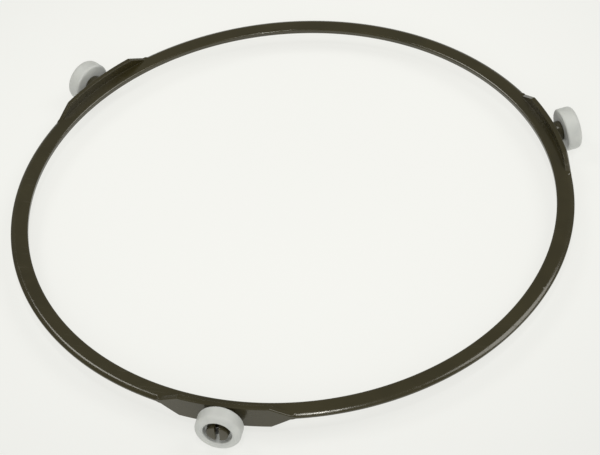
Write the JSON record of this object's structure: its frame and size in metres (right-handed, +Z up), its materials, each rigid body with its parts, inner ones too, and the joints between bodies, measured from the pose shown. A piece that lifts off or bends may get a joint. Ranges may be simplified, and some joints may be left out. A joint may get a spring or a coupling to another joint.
{
  "type": "microwave roller ring",
  "caption": "Flat moulded ring with lugs on its rim that carry free-spinning rollers on split snap pins; it runs on an oven floor and carries a round glass tray.",
  "frame": {"origin": "on the ring's axis, at the level of the floor that the rollers run on", "axes": "+Z up along the ring's axis, -Y out along the front roller's pin, +X to the right of someone who faces that roller"},
  "size_m": [0.22, 0.229, 0.0172],
  "materials": {
    "ring_plastic": "dark olive brown, satin moulded",
    "roller_plastic": "white, satin moulded"
  },
  "bodies": {
    "ring": {"ring_frame": "ring_plastic"},
    "roller_front": {"roller_front": "roller_plastic"},
    "roller_right": {"roller_right": "roller_plastic"},
    "roller_left": {"roller_left": "roller_plastic"}
  },
  "joints": [
    {"name": "roller_front_spin", "type": "hinge", "parent": "ring", "child": "roller_front", "pos_m": [0, -0.1159, 0.0086], "axis": [0, -1, 0], "continuous": true},
    {"name": "roller_right_spin", "type": "hinge", "parent": "ring", "child": "roller_right", "pos_m": [0.10037, 0.05795, 0.0086], "axis": [0.866, 0.5, 0], "continuous": true},
    {"name": "roller_left_spin", "type": "hinge", "parent": "ring", "child": "roller_left", "pos_m": [-0.10037, 0.05795, 0.0086], "axis": [-0.866, 0.5, 0], "continuous": true}
  ]
}
